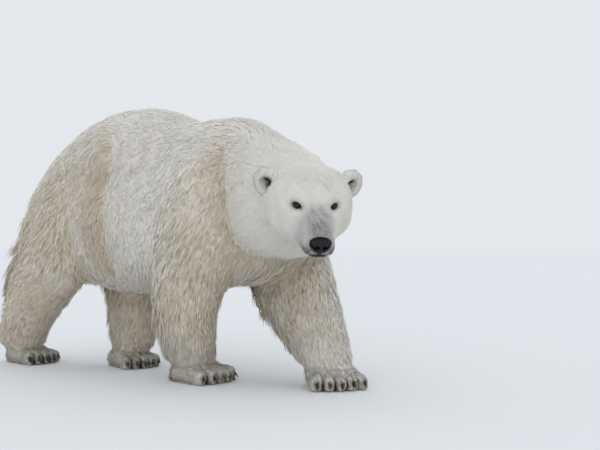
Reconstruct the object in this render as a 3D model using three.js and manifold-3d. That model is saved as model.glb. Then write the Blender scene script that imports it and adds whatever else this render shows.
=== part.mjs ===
// Life-size polar bear, walking, with its head turned to its right: a still model of an adult male.
// Millimetres, +Z up. The bear faces -Y, its left side is +X, and its soles are flat on Z = 0.
// All surfaces are at the tips of the coat.
import * as THREE from 'three';
import { mergeVertices } from 'three/addons/utils/BufferGeometryUtils.js';
import Module from 'manifold-3d';

const wasm = await Module();
wasm.setup();

// ---------------------------------------------------------------- driving dimensions
const gap = 0.3; // left between neighbours that touch
const degrees = Math.PI / 180;

// The trunk, from the buttocks to the breast. A section stands upright across the spine: `top` and
// `bottom` are heights, `half` is half the width, and `widest` is the share of its height at which
// it is widest.
const trunkStations = [
  { forward: -832, top: 905, bottom: 795, half: 60, widest: 0.5 }, // buttocks
  { forward: -812, top: 975, bottom: 715, half: 135, widest: 0.48 },
  { forward: -750, top: 1058, bottom: 620, half: 212, widest: 0.45 },
  { forward: -635, top: 1155, bottom: 520, half: 272, widest: 0.43 },
  { forward: -495, top: 1245, bottom: 440, half: 315, widest: 0.42 }, // hips
  { forward: -300, top: 1316, bottom: 402, half: 350, widest: 0.4 },
  { forward: -110, top: 1335, bottom: 395, half: 365, widest: 0.4 }, // loin, the highest point
  { forward: 90, top: 1300, bottom: 400, half: 365, widest: 0.4 },
  { forward: 280, top: 1226, bottom: 420, half: 348, widest: 0.42 },
  { forward: 460, top: 1256, bottom: 445, half: 315, widest: 0.44 }, // shoulder hump
  { forward: 620, top: 1208, bottom: 465, half: 285, widest: 0.44 },
  { forward: 760, top: 1095, bottom: 530, half: 226, widest: 0.46 },
  { forward: 845, top: 945, bottom: 605, half: 155, widest: 0.48 }, // breast
  { forward: 872, top: 850, bottom: 690, half: 75, widest: 0.5 },
];

// The neck, from inside the shoulders to the skull. `turn` is how far it has turned to the bear's right.
const neckStations = [
  { forward: 450, left: -5, turn: 0, top: 1205, bottom: 620, half: 235, widest: 0.48, power: 2.1 },
  { forward: 630, left: -22, turn: 8, top: 1180, bottom: 590, half: 256, widest: 0.47, power: 2.2 },
  { forward: 780, left: -70, turn: 20, top: 1113, bottom: 580, half: 256, widest: 0.45, power: 2.4 },
  { forward: 900, left: -150, turn: 34, top: 1045, bottom: 586, half: 236, widest: 0.45, power: 2.4 },
  { forward: 980, left: -228, turn: 44, top: 1000, bottom: 606, half: 202, widest: 0.45, power: 2.3 },
  { forward: 1035, left: -280, turn: 48, top: 960, bottom: 648, half: 160, widest: 0.46, power: 2.2 },
];

// The legs, from inside the trunk down to the paw. A section lies level: `ahead` and `behind` are its
// reaches from the leg's middle, and `half` is half its width. `out` is the distance from the midline.
const legs = {
  foreleg_right: {
    side: -1,
    stations: [
      { up: 1020, forward: 430, out: 190, ahead: 120, behind: 140, half: 90 },
      { up: 870, forward: 430, out: 222, ahead: 215, behind: 230, half: 142 }, // shoulder
      { up: 720, forward: 420, out: 228, ahead: 240, behind: 240, half: 148 },
      { up: 580, forward: 385, out: 218, ahead: 245, behind: 230, half: 148 }, // elbow
      { up: 440, forward: 345, out: 198, ahead: 182, behind: 208, half: 140 },
      { up: 300, forward: 315, out: 172, ahead: 133, behind: 178, half: 130 },
      { up: 180, forward: 300, out: 142, ahead: 120, behind: 168, half: 124 }, // wrist
      { up: 90, forward: 300, out: 118, ahead: 120, behind: 164, half: 124 },
    ],
  },
  foreleg_left: {
    side: 1,
    stations: [
      { up: 1020, forward: 450, out: 190, ahead: 120, behind: 140, half: 90 },
      { up: 870, forward: 480, out: 222, ahead: 210, behind: 230, half: 142 },
      { up: 720, forward: 540, out: 228, ahead: 220, behind: 250, half: 148 },
      { up: 580, forward: 620, out: 218, ahead: 200, behind: 284, half: 148 },
      { up: 440, forward: 705, out: 198, ahead: 172, behind: 306, half: 138 },
      { up: 300, forward: 790, out: 172, ahead: 147, behind: 284, half: 126 },
      { up: 180, forward: 860, out: 145, ahead: 132, behind: 212, half: 120 },
      { up: 90, forward: 900, out: 125, ahead: 128, behind: 152, half: 122 },
    ],
  },
  hindleg_right: {
    side: -1,
    stations: [
      { up: 1040, forward: -430, out: 165, ahead: 150, behind: 170, half: 90 },
      { up: 910, forward: -450, out: 205, ahead: 250, behind: 262, half: 140 }, // thigh
      { up: 745, forward: -500, out: 226, ahead: 285, behind: 258, half: 152 },
      { up: 590, forward: -580, out: 218, ahead: 310, behind: 245, half: 150 }, // knee
      { up: 450, forward: -695, out: 195, ahead: 300, behind: 215, half: 140 },
      { up: 310, forward: -825, out: 165, ahead: 240, behind: 172, half: 124 },
      { up: 190, forward: -920, out: 135, ahead: 178, behind: 148, half: 112 }, // hock
      { up: 90, forward: -950, out: 115, ahead: 150, behind: 142, half: 112 },
    ],
  },
  hindleg_left: {
    side: 1,
    stations: [
      { up: 1040, forward: -430, out: 165, ahead: 150, behind: 170, half: 90 },
      { up: 910, forward: -430, out: 205, ahead: 250, behind: 290, half: 140 },
      { up: 745, forward: -400, out: 226, ahead: 260, behind: 325, half: 154 },
      { up: 590, forward: -370, out: 218, ahead: 226, behind: 316, half: 150 },
      { up: 450, forward: -355, out: 195, ahead: 176, behind: 276, half: 138 },
      { up: 310, forward: -350, out: 165, ahead: 138, behind: 204, half: 124 },
      { up: 190, forward: -345, out: 135, ahead: 130, behind: 150, half: 112 },
      { up: 90, forward: -335, out: 115, ahead: 122, behind: 132, half: 108 },
    ],
  },
};

// The paws: the middle of each sole, its turn to the bear's right, and its size.
const forefoot = { length: 300, width: 268, height: 110, claw: 46 };
const hindfoot = { length: 300, width: 228, height: 104, claw: 34 };
const paws = {
  forepaw_right: { leg: 'foreleg_right', forward: 322, left: -100, turn: 0, ...forefoot },
  forepaw_left: { leg: 'foreleg_left', forward: 938, left: 100, turn: 38, ...forefoot },
  hindpaw_right: { leg: 'hindleg_right', forward: -903, left: -100, turn: 0, ...hindfoot },
  hindpaw_left: { leg: 'hindleg_left', forward: -340, left: 100, turn: 12, ...hindfoot },
};
const toeCount = 5;

// The head, in its own frame: `ahead` runs from between the ears to the nose.
const headPlace = { forward: 1096, left: -309, up: 864, turn: 44.7, nod: 28, tilt: 1.4 };
const headStations = [
  { ahead: -110, top: 70, bottom: -150, half: 130, widest: 0.5, power: 2.4 }, // back of the skull
  { ahead: -60, top: 99, bottom: -186, half: 172, widest: 0.46, power: 2.7 },
  { ahead: 0, top: 107, bottom: -196, half: 187, widest: 0.43, power: 2.8 }, // ears
  { ahead: 70, top: 101, bottom: -186, half: 179, widest: 0.41, power: 2.5 }, // cheeks
  { ahead: 130, top: 83, bottom: -168, half: 151, widest: 0.38, power: 2.4 }, // eyes
  { ahead: 180, top: 60, bottom: -154, half: 106, widest: 0.38, power: 2.25 },
  { ahead: 230, top: 34, bottom: -143, half: 80, widest: 0.4, power: 2.25 }, // root of the muzzle
  { ahead: 290, top: 10, bottom: -134, half: 67, widest: 0.4, power: 2.25 },
  { ahead: 340, top: -8, bottom: -124, half: 60, widest: 0.42, power: 2.25 }, // lips
];
const eyeBall = { radius: 17, ahead: 172, aside: 71.5, up: 18 };
const noseDome = { ahead: 352, up: -60, half: 42, rise: 32, reach: 22 };
const ear = { ahead: -10, aside: 165, up: 27, half: 61, rise: 66, depth: 30, lean: 42, spread: 25 };
const tail = { forward: -768, up: 1010, back: 82, drop: 112, radius: 42 };

// ---------------------------------------------------------------- shapes
// A place given as distances forward, to the left and up.
const at = (forward, left, up) => new THREE.Vector3(left, -forward, up);

const upward = new THREE.Vector3(0, 0, 1);

// Direction of travel and of the bear's left, once it has turned to its right.
const ahead = (turn) => at(Math.cos(turn * degrees), -Math.sin(turn * degrees), 0);
const toLeft = (turn) => at(Math.sin(turn * degrees), Math.cos(turn * degrees), 0);

// Stations blended by a cubic through all their named values. Returns a function of the station count.
function blended(stations) {
  const names = Object.keys(stations[0]);
  const curve = new THREE.CubicInterpolant(
    stations.map((_, i) => i),
    stations.flatMap((station) => names.map((name) => station[name])),
    names.length,
  );
  return (count) => {
    const values = curve.evaluate(count);
    return Object.fromEntries(names.map((name, i) => [name, values[i]]));
  };
}

// Evenly spaced numbers from a to b.
const spread = (a, b, count) => Array.from({ length: count }, (_, i) => a + ((b - a) * i) / (count - 1));

// A ring is a centre, two directions and the reaches along them; `power` above 2 squares it.
function ringPoint(ring, angle) {
  const c = Math.cos(angle);
  const s = Math.sin(angle);
  const round = 2 / ring.power;
  const x = Math.sign(c) * Math.abs(c) ** round * ring.half;
  const y = Math.sign(s) * Math.abs(s) ** round * (s > 0 ? ring.plus : ring.minus);
  return ring.centre.clone().addScaledVector(ring.across, x).addScaledVector(ring.along, y);
}

// Rings that close one end as a dome of the given reach, without its pole.
function domeRings(ring, reach, count) {
  const normal = ring.across.clone().cross(ring.along);
  return spread(0, 90, count + 2)
    .slice(1, -1)
    .map((angle) => {
      const shrink = Math.cos(angle * degrees);
      return {
        ...ring,
        centre: ring.centre.clone().addScaledVector(normal, reach * Math.sin(angle * degrees)),
        half: ring.half * shrink,
        plus: ring.plus * shrink,
        minus: ring.minus * shrink,
      };
    });
}

// A closed body through the rings. Its ends are flat, or domes that reach out by `first` and `last`.
function loft(rings, sides, { first = 0, last = 0, grow = 0, floor = -Infinity, domes = 1 } = {}) {
  const grown = rings.map((r) => ({
    ...r, power: r.power ?? 2, half: r.half + grow, plus: r.plus + grow, minus: r.minus + grow,
  }));
  const start = grown[0];
  const end = grown[grown.length - 1];
  const reachFirst = first ? first + grow : 0;
  const reachLast = last ? last + grow : 0;
  const all = [
    ...(first ? domeRings(start, -reachFirst, domes).reverse() : []),
    ...grown,
    ...(last ? domeRings(end, reachLast, domes) : []),
  ];
  const pole = (ring, reach) =>
    ring.centre.clone().addScaledVector(ring.across.clone().cross(ring.along), reach);
  const points = [pole(start, -reachFirst)];
  for (const ring of all) {
    for (let i = 0; i < sides; i++) points.push(ringPoint(ring, (2 * Math.PI * (i + 0.5)) / sides));
  }
  points.push(pole(end, reachLast));
  for (const p of points) p.z = Math.max(p.z, floor);
  const index = [];
  const lastPoint = points.length - 1;
  for (let i = 0; i < sides; i++) {
    const j = (i + 1) % sides;
    index.push(0, 1 + j, 1 + i);
    for (let k = 0; k < all.length - 1; k++) {
      const a = 1 + k * sides;
      const b = a + sides;
      index.push(a + i, a + j, b + j, a + i, b + j, b + i);
    }
    const a = 1 + (all.length - 1) * sides;
    index.push(a + i, a + j, lastPoint);
  }
  const geometry = new THREE.BufferGeometry().setFromPoints(points);
  geometry.setIndex(index);
  return geometry;
}

// ---------------------------------------------------------------- solids
function solidOf(geometry) {
  const bare = geometry.clone();
  bare.deleteAttribute('normal');
  bare.deleteAttribute('uv');
  const merged = mergeVertices(bare, 1e-4);
  const triVerts = Uint32Array.from(merged.index.array);
  const vertProperties = merged.attributes.position.array;
  return new wasm.Manifold(new wasm.Mesh({ numProp: 3, vertProperties, triVerts }));
}

function geometryOf(solid) {
  const { vertProperties, triVerts } = solid.getMesh();
  const geometry = new THREE.BufferGeometry();
  geometry.setAttribute('position', new THREE.BufferAttribute(vertProperties, 3));
  geometry.setIndex(new THREE.BufferAttribute(triVerts, 1));
  return geometry;
}

// ---------------------------------------------------------------- trunk and neck
const nearlyRound = 2.1; // power of the rings of the body and legs

function uprightRing(s) {
  const middle = s.bottom + s.widest * (s.top - s.bottom);
  return {
    centre: at(s.forward, s.left ?? 0, middle),
    across: toLeft(s.turn ?? 0),
    along: upward,
    half: s.half,
    plus: s.top - middle,
    minus: middle - s.bottom,
    power: s.power ?? nearlyRound,
  };
}

// A body whose upright rings are spaced evenly through its stations.
function uprightLoft(stations, ringCount, sides, ends) {
  const stationAt = blended(stations);
  const rings = spread(0, stations.length - 1, ringCount).map((count) => uprightRing(stationAt(count)));
  return loft(rings, sides, ends);
}

const trunkLoft = (grow = 0) => uprightLoft(trunkStations, 16, 18, { first: 8, last: 10, grow, domes: 0 });
const neckLoft = () => uprightLoft(neckStations, 7, 16, { first: 40, last: 60 });

// ---------------------------------------------------------------- legs
function legLoft({ side, stations }, grow = 0) {
  const legAt = blended(stations);
  const rings = spread(0, stations.length - 1, 9).map((count) => {
    const s = legAt(count);
    return {
      centre: at(s.forward, side * s.out, s.up),
      across: toLeft(0),
      along: ahead(0),
      half: s.half,
      plus: s.ahead,
      minus: s.behind,
      power: nearlyRound,
    };
  });
  return loft(rings, 14, { first: 60, last: 30, grow, domes: 0 });
}

// ---------------------------------------------------------------- paws
// Sections of the paw from the heel to the toes, as shares of its length, width and height.
const pawStations = [
  { along: -0.46, half: 0.26, top: 0.5 },
  { along: -0.36, half: 0.38, top: 0.85 },
  { along: -0.15, half: 0.44, top: 1.0 },
  { along: 0.08, half: 0.47, top: 0.92 },
  { along: 0.26, half: 0.47, top: 0.68 },
  { along: 0.36, half: 0.42, top: 0.52 },
];

function pawLoft(paw, grow = 0) {
  const pawAt = blended(pawStations);
  const rings = spread(0, pawStations.length - 1, 5).map((count) => {
    const s = pawAt(count);
    const rise = (s.top * paw.height) / 2;
    return {
      centre: at(paw.forward, paw.left, rise).addScaledVector(ahead(paw.turn), s.along * paw.length),
      across: toLeft(paw.turn),
      along: upward,
      half: s.half * paw.width,
      plus: rise,
      minus: rise + 22, // reaches under the floor, where the sole is cut flat
      power: 2.4,
    };
  });
  return loft(rings, 12, { first: 18, last: 14, grow, floor: 0, domes: 0 });
}

// Toes fan out along an arc in front of the paw; the outer ones sit further back.
function toePlace(paw, toe) {
  const share = toe / (toeCount - 1) - 0.5; // -0.5 at the left toe, 0.5 at the right one
  return {
    turn: paw.turn + 26 * share,
    centre: at(paw.forward, paw.left, 0)
      .addScaledVector(ahead(paw.turn), paw.length * (0.4 - 0.34 * share * share))
      .addScaledVector(toLeft(paw.turn), -share * paw.width * 0.8),
    half: paw.width * (0.118 - 0.03 * share * share),
    rise: paw.height * 0.6,
  };
}

function toeLoft(paw, toe) {
  const t = toePlace(paw, toe);
  const ring = (step, size) => ({
    centre: t.centre.clone().addScaledVector(ahead(t.turn), step).setZ(t.rise * 0.46),
    across: toLeft(t.turn),
    along: upward,
    half: t.half * size,
    plus: t.rise * size * 0.52,
    minus: t.rise * 0.5,
    power: 2.2,
  });
  return loft([ring(-40, 0.95), ring(4, 1)], 8, { first: 10, last: 26, floor: 0 });
}

// A claw is an arc of radius `bend` that leaves the toe nearly level, turns down and tapers.
const clawArc = { from: 10, to: 72, halfWidth: 7.5, halfHeight: 9, taper: 0.65 };

function clawLoft(paw, toe, grow = 0) {
  const t = toePlace(paw, toe);
  const bend = paw.claw;
  const drop = (angle) => bend * (Math.cos(clawArc.from * degrees) - Math.cos(angle));
  const reach = (angle) => bend * (Math.sin(angle) - Math.sin(clawArc.from * degrees));
  const rings = spread(0, 1, 3).map((share) => {
    const angle = (clawArc.from + (clawArc.to - clawArc.from) * share) * degrees;
    const size = 1 - clawArc.taper * share;
    const centre = t.centre.clone().addScaledVector(ahead(t.turn), 14 + reach(angle));
    return {
      centre: centre.setZ(t.rise * 0.62 - drop(angle)),
      across: toLeft(t.turn),
      along: upward.clone().multiplyScalar(Math.cos(angle)).addScaledVector(ahead(t.turn), Math.sin(angle)),
      half: clawArc.halfWidth * size,
      plus: clawArc.halfHeight * size,
      minus: clawArc.halfHeight * size,
    };
  });
  return loft(rings, 6, { first: 5, last: 4, grow, domes: 0 });
}

// ---------------------------------------------------------------- head
const headFrame = new THREE.Matrix4().compose(
  at(headPlace.forward, headPlace.left, headPlace.up),
  new THREE.Quaternion().setFromEuler(
    new THREE.Euler(headPlace.nod * degrees, headPlace.tilt * degrees, -headPlace.turn * degrees, 'ZXY'),
  ),
  new THREE.Vector3(1, 1, 1),
);

function headLoft(grow = 0) {
  const headAt = blended(headStations);
  const rings = spread(0, headStations.length - 1, 14).map((count) => {
    const s = headAt(count);
    const middle = s.bottom + s.widest * (s.top - s.bottom);
    return {
      centre: at(s.ahead, 0, middle),
      across: toLeft(0),
      along: upward,
      half: s.half,
      plus: s.top - middle,
      minus: middle - s.bottom,
      power: s.power,
    };
  });
  return loft(rings, 20, { first: 34, last: 22, grow }).applyMatrix4(headFrame);
}

function eyeBallOf(side, grow = 0) {
  const { radius, ahead: forward, aside, up } = eyeBall;
  const ball = new THREE.SphereGeometry(radius + grow, 10, 6);
  return ball.translate(...at(forward, side * aside, up)).applyMatrix4(headFrame);
}

function nosePad(grow = 0) {
  const { ahead: forward, up, half, rise, reach } = noseDome;
  const ring = (step, size) => ({
    centre: at(forward + step, 0, up),
    across: toLeft(0),
    along: upward,
    half: half * size,
    plus: rise * size,
    minus: rise * size * 1.1,
    power: 2.4,
  });
  return loft([ring(-22, 0.9), ring(0, 1)], 12, { first: 8, last: reach, grow }).applyMatrix4(headFrame);
}

// The ear is a thick shell: an upright ellipsoid, hollowed from the front.
function earShell(side, grow = 0) {
  const place = new THREE.Matrix4().compose(
    at(ear.ahead, side * ear.aside, ear.up),
    new THREE.Quaternion().setFromEuler(
      new THREE.Euler(0, side * ear.lean * degrees, side * ear.spread * degrees, 'ZYX'),
    ),
    new THREE.Vector3(1, 1, 1),
  );
  const body = new THREE.SphereGeometry(1, 10, 8)
    .scale(ear.half + grow, ear.depth + grow, ear.rise + grow);
  const hollow = new THREE.SphereGeometry(1, 8, 6)
    .scale(ear.half * 0.66, ear.depth * 1.15, ear.rise * 0.72)
    .translate(0, -ear.depth * 0.86, -ear.rise * 0.02);
  const whole = solidOf(body.applyMatrix4(place).applyMatrix4(headFrame));
  return grow ? whole : whole.subtract(solidOf(hollow.applyMatrix4(place).applyMatrix4(headFrame)));
}

// ---------------------------------------------------------------- tail
function tailLoft(grow = 0) {
  const rings = spread(0, 1, 4).map((share) => ({
    centre: at(tail.forward - tail.back * share, 0, tail.up - tail.drop * share),
    across: toLeft(0),
    along: ahead(0),
    half: tail.radius * (1 - 0.35 * share),
    plus: tail.radius * (1 - 0.45 * share),
    minus: tail.radius * (1 - 0.45 * share),
  }));
  return loft(rings, 8, { first: 24, last: 22, grow });
}

// ---------------------------------------------------------------- the bear
const coat = new THREE.MeshStandardMaterial({ color: 0xd8d2c2, roughness: 0.85, metalness: 0 });
const pawCoat = new THREE.MeshStandardMaterial({ color: 0xb9b2a3, roughness: 0.85, metalness: 0 });
const noseLeather = new THREE.MeshStandardMaterial({ color: 0x141416, roughness: 0.4, metalness: 0 });
const eyeGloss = new THREE.MeshStandardMaterial({ color: 0x120d0a, roughness: 0.08, metalness: 0 });
const clawHorn = new THREE.MeshStandardMaterial({ color: 0x1b1917, roughness: 0.45, metalness: 0 });

const bear = new THREE.Group();

function addPiece(name, solid, material) {
  const mesh = new THREE.Mesh(geometryOf(solid), material);
  mesh.name = name;
  bear.add(mesh);
}

const sides = { left: 1, right: -1 };

// Head with its eyes, nose and ears; each of them sits in a socket that clears it by the gap.
let head = solidOf(headLoft());
for (const [name, side] of Object.entries(sides)) {
  addPiece('eye_' + name, solidOf(eyeBallOf(side)), eyeGloss);
  head = head.subtract(solidOf(eyeBallOf(side, gap)));
  addPiece('ear_' + name, earShell(side), coat);
  head = head.subtract(earShell(side, gap));
}
addPiece('nose', solidOf(nosePad()), noseLeather);
head = head.subtract(solidOf(nosePad(gap)));
addPiece('head', head, coat);

// The neck sits on the shoulders and takes the skull, and the ears where they reach back into it.
let neck = solidOf(neckLoft()).subtract(solidOf(trunkLoft(gap))).subtract(solidOf(headLoft(gap)));
for (const side of Object.values(sides)) neck = neck.subtract(earShell(side, gap));

// The trunk takes the tops of the legs and the root of the tail.
let trunk = solidOf(trunkLoft()).subtract(solidOf(tailLoft(gap)));
addPiece('tail', solidOf(tailLoft()), coat);

for (const [name, leg] of Object.entries(legs)) {
  const shape = solidOf(legLoft(leg, gap));
  trunk = trunk.subtract(shape);
  neck = neck.subtract(shape);
}
addPiece('trunk', trunk, coat);
addPiece('neck', neck, coat);

for (const [name, paw] of Object.entries(paws)) {
  let sole = solidOf(pawLoft(paw));
  let grown = solidOf(pawLoft(paw, gap));
  for (let toe = 0; toe < toeCount; toe++) {
    const toeSolid = solidOf(toeLoft(paw, toe));
    sole = sole.add(toeSolid);
    grown = grown.add(toeSolid);
  }
  for (let toe = 0; toe < toeCount; toe++) {
    sole = sole.subtract(solidOf(clawLoft(paw, toe, gap)));
    addPiece(name.replace('paw', 'claw') + '_' + (toe + 1), solidOf(clawLoft(paw, toe)), clawHorn);
  }
  addPiece(name, sole, pawCoat);
  addPiece(paw.leg, solidOf(legLoft(legs[paw.leg])).subtract(grown), coat);
}

// The origin goes to the floor under the middle of the bear's box.
const middle = new THREE.Box3().setFromObject(bear).getCenter(new THREE.Vector3());
bear.position.set(-middle.x, -middle.y, 0);

export default bear;
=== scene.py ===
import math
import bmesh
import bpy
import numpy as np
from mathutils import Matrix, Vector
from mathutils.bvhtree import BVHTree
from mathutils.kdtree import KDTree


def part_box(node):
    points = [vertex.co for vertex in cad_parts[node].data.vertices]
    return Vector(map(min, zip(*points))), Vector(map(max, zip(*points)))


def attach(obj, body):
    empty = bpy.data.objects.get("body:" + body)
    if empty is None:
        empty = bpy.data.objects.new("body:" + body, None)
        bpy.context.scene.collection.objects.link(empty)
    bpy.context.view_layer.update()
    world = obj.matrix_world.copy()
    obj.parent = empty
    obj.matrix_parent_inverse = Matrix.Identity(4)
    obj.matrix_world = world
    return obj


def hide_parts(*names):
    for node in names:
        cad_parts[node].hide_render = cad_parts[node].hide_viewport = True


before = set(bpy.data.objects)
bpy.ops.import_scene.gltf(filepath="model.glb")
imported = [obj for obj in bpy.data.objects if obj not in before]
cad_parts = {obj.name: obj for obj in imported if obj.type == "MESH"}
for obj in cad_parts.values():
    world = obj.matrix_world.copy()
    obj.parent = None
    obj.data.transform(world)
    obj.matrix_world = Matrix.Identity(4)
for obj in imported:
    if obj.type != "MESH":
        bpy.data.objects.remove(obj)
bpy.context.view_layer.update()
print("frame loaded")

draw = np.random.default_rng(1906)
sides = {"left": 1, "right": -1}
clawNodes = [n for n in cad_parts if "claw" in n]
fleshNodes = [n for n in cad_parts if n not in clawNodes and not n.startswith("eye") and n != "nose"]


def corners(node):
    # the low and the high corner of a node's box
    low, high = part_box(node)
    return np.array(low), np.array(high)


def middle(node):
    # (low + high) / 2
    return sum(corners(node)) / 2


def arrayOf(items, name, width):
    # one attribute of a mesh's vertices, edges or faces, as rows
    found = np.empty(len(items) * width, np.int32 if name == "vertices" else np.float32)
    items.foreach_get(name, found)
    return found.reshape(-1, width).astype(int if name == "vertices" else float)


def placesOf(mesh):
    return arrayOf(mesh.vertices, "co", 3)


def normalsOf(mesh):
    return arrayOf(mesh.vertex_normals, "vector", 3)


def edgesOf(mesh):
    return arrayOf(mesh.edges, "vertices", 2)


def facesOf(mesh):
    return arrayOf(mesh.polygons, "vertices", 3)


def unit(v):
    # v over its own length
    return v / np.maximum(np.linalg.norm(v, axis=-1, keepdims=True), 1e-12)


def levelled(v, n):
    # v turned into the surface with normal n
    return unit(v - n * (v * n).sum(1)[:, None])


def smooth(t, a=0.0, b=1.0):
    # 0 up to a, 1 from b on, 3s^2 - 2s^3 between
    s = np.clip((t - a) / (b - a), 0, 1)
    return s * s * (3 - 2 * s)


def hump(x, power=2):
    # 1 in the middle and falling off on both sides, more squarely with a higher power
    return np.exp(-(x**power))


def radiiOut(p, place, radii):
    # r^2, r being the distance from a place in radii
    return (((p - place) / radii) ** 2).sum(-1)


def bell(p, place, radii):
    # exp(-r^2)
    return np.exp(-radiiOut(p, place, radii))


def named(owner, word):
    # which points belong to a part with this word in its name
    return np.char.find(owner, word) >= 0


def ripple(p, wave, seed):
    # soft noise near -1..1: a mean of sines along random ways, each of about that wavelength in metres
    chance = np.random.default_rng(seed)
    heading = unit(chance.normal(size=(7, 3))) * chance.uniform(0.7, 1.5, (7, 1)) * 2 * math.pi / wave
    return np.sin(p @ heading.T + chance.uniform(0, 2 * math.pi, 7)).sum(1) / 3.2


def relaxed(values, edges, rounds, share=1.0):
    # each round takes every point half way to the mean of its neighbours, times its share
    a, b = edges.T
    count = np.bincount(edges.ravel(), minlength=len(values))[:, None]
    share = np.broadcast_to(share, len(values))[:, None]
    for _ in range(rounds):
        total = [np.bincount(a, col[b], len(col)) + np.bincount(b, col[a], len(col)) for col in values.T]
        values = values + 0.5 * share * (np.stack(total, 1) / count - values)
    return values


def nearestOn(path, q):
    # each point's distance to a line of spots, and where its nearest place is, 0 at the start to 1
    best, where = np.full(len(q), np.inf), np.zeros(len(q))
    for i in range(len(path) - 1):
        along = path[i + 1] - path[i]
        t = np.clip(((q - path[i]) @ along) / (along @ along), 0, 1)
        gap = np.linalg.norm(q - path[i] - t[:, None] * along, axis=1)
        where = np.where(gap < best, (i + t) / (len(path) - 1), where)
        best = np.minimum(best, gap)
    return best, where


def shown(name, data):
    # a mesh, camera or lamp as an object of the scene
    piece = bpy.data.objects.new(name, data)
    bpy.context.scene.collection.objects.link(piece)
    return piece


def meshFrom(name, verts, faces):
    mesh = bpy.data.meshes.new(name)
    mesh.from_pydata(verts.tolist(), [], faces.tolist())
    return mesh


def joined(name, meshes):
    # one mesh of several, with their loose triangles merged
    bm = bmesh.new()
    for mesh in meshes:
        bm.from_mesh(mesh)
    bmesh.ops.remove_doubles(bm, verts=bm.verts, dist=1e-5)
    mesh = bpy.data.meshes.new(name)
    bm.to_mesh(mesh)
    bm.free()
    return mesh


def modified(mesh, kind, prepare=None, **settings):
    # the mesh after one modifier
    holder = shown("holder", mesh)
    modifier = holder.modifiers.new(kind, kind)
    for key, value in settings.items():
        setattr(modifier, key, value)
    if prepare:
        prepare(holder, modifier)
    graph = bpy.context.evaluated_depsgraph_get()
    result = bpy.data.meshes.new_from_object(holder.evaluated_get(graph))
    bpy.data.objects.remove(holder)
    return result


def setPoints(mesh, co):
    # moves a mesh's vertices to new places
    mesh.vertices.foreach_set("co", co.astype(np.float32).ravel())
    mesh.update()


def mark(mesh, name, values):
    # one number for every vertex, which the finishes read by name
    marks = mesh.attributes.new(name, "FLOAT", "POINT").data
    marks.foreach_set("value", values.astype(np.float32))


def turned(name, points, marks, bothWays=False):
    # a closed surface from rings of points, one ring a row; bothWays joins the last ring to the first
    rows, cols = points.shape[:2]
    index = np.arange(rows * cols).reshape(rows, cols)
    index = np.concatenate([index, index[:, :1]], 1)
    if bothWays:
        index = np.concatenate([index, index[:1]], 0)
    quads = np.stack([index[:-1, :-1], index[:-1, 1:], index[1:, 1:], index[1:, :-1]], -1).reshape(-1, 4)
    mesh = meshFrom(name, points.reshape(-1, 3), quads)
    for key, values in marks.items():
        mark(mesh, key, values.ravel())
    bm = bmesh.new()
    bm.from_mesh(mesh)
    bmesh.ops.remove_doubles(bm, verts=bm.verts, dist=1e-6)
    bmesh.ops.holes_fill(bm, edges=bm.edges)
    bmesh.ops.recalc_face_normals(bm, faces=bm.faces)
    bm.to_mesh(mesh)
    bm.free()
    mesh.shade_smooth()
    return shown(name, mesh)


# the head's own axes: ahead, left and up
headShape = {"noseDip": math.radians(24.74), "eyesAhead": 0.172, "eyesUp": 0.018}
eyesMiddle = (middle("eye_left") + middle("eye_right")) / 2
toNose = unit(middle("nose") - eyesMiddle)  # the nose lies noseDip below ahead
headLeft = unit(middle("eye_left") - middle("eye_right"))
overNose = unit(np.cross(toNose, headLeft))
headAhead = toNose * math.cos(headShape["noseDip"]) + overNose * math.sin(headShape["noseDip"])
headUp = overNose * math.cos(headShape["noseDip"]) - toNose * math.sin(headShape["noseDip"])
headOrigin = eyesMiddle - headAhead * headShape["eyesAhead"] - headUp * headShape["eyesUp"]
headAxes = np.array([headAhead, headLeft, headUp])


def toHead(p):
    # (ahead, left, up) = axes (p - origin)
    return (p - headOrigin) @ headAxes.T


def fromHead(q):
    # origin + ahead, left and up times q
    return headOrigin + np.asarray(q, float) @ headAxes


def folded(q):
    # the head's places in millimetres, its right side laid over its left
    return np.stack([q[:, 0], np.abs(q[:, 1]), q[:, 2]], 1) * 1000


# Every part of the body has a line that runs the way its hair lies. The stops along it say how long the
# hair is, how deep the coat stands over the skin, how far apart its tufts are, how much they gather into
# locks and how warm their colour is. A point takes the values of the nearest place on its part's line.

stopNames = ("length", "depth", "gap", "lock", "warm")


def line(spots, *stops):
    # the spots of a line and the coat's values at each of them
    return np.array(spots, float), np.array(stops, float)


def slices(node, axis, shares):
    # middles of the node's cross-sections, at shares of its length along an axis
    co = placesOf(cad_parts[node].data)
    low, high = co[:, axis].min(), co[:, axis].max()
    found = []
    for level in low + np.array(shares) * (high - low):
        near = co[np.abs(co[:, axis] - level) < 0.09 * (high - low) + 0.01]
        spot = (near.min(0) + near.max(0)) / 2
        spot[axis] = level
        found.append(spot)
    return np.array(found)


def toesAhead(paw):
    # level, from the paw's middle towards its middle claw
    return unit((middle(paw.replace("paw", "claw") + "_3") - middle(paw)) * (1, 1, 0))


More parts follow.
